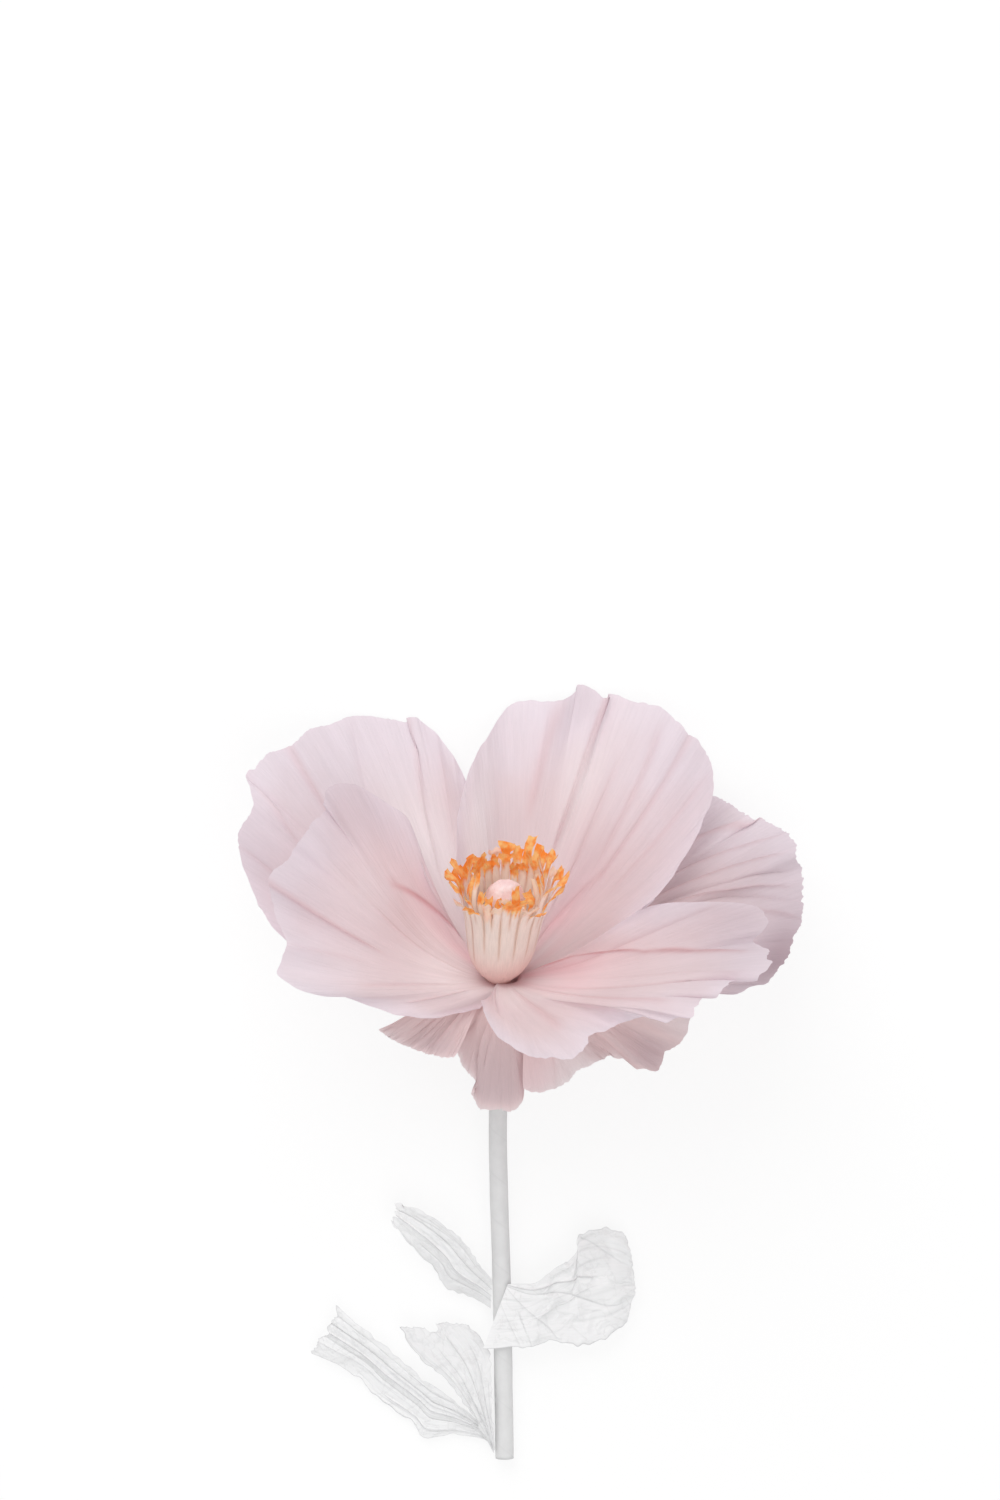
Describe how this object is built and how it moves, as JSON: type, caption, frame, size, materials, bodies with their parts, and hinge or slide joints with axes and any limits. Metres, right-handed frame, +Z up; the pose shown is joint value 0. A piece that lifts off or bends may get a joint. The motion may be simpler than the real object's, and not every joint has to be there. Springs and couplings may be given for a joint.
{
  "type": "crepe paper rose",
  "caption": "Open crepe paper rose with broad cupped petals, a fringed stamen cup round a ball, a drooping ruff below, a paper-wrapped wire stem and crumpled white leaves",
  "frame": {"origin": "middle of the part's box in plan, on the floor it rests on", "axes": "X runs across the bloom, Y along the stem towards the bloom, Z up from the floor that the flower lies on"},
  "size_m": [0.171, 0.2374, 0.0939],
  "materials": {
    "petal_paper": "matte crepe paper, pale pink",
    "under_paper": "matte crepe paper, deeper pink",
    "stamen_paper": "matte crepe paper, cream with orange tips",
    "ball_paper": "matte crepe paper, pink",
    "stem_paper": "smooth wrapped paper, light grey",
    "leaf_paper": "thin crumpled paper, white",
    "wire": "plain florist's wire"
  },
  "bodies": {
    "root": {"stem_wire": "wire", "stem_wrap": "stem_paper", "neck_binding": "under_paper", "pistil_ball": "ball_paper", "stamen_fringe_outer": "stamen_paper", "stamen_fringe_inner": "stamen_paper", "petal_front_right": "petal_paper", "petal_back_right": "petal_paper", "petal_front_left": "petal_paper", "petal_back_left": "petal_paper", "petal_right": "petal_paper", "under_petal_left": "under_paper", "under_petal_front": "under_paper", "under_petal_right": "under_paper", "under_petal_back_right": "under_paper", "under_petal_back_left": "under_paper", "leaf_upper_left": "leaf_paper", "leaf_right": "leaf_paper", "leaf_lower_left": "leaf_paper", "leaf_lower_middle": "leaf_paper"}
  },
  "joints": []
}
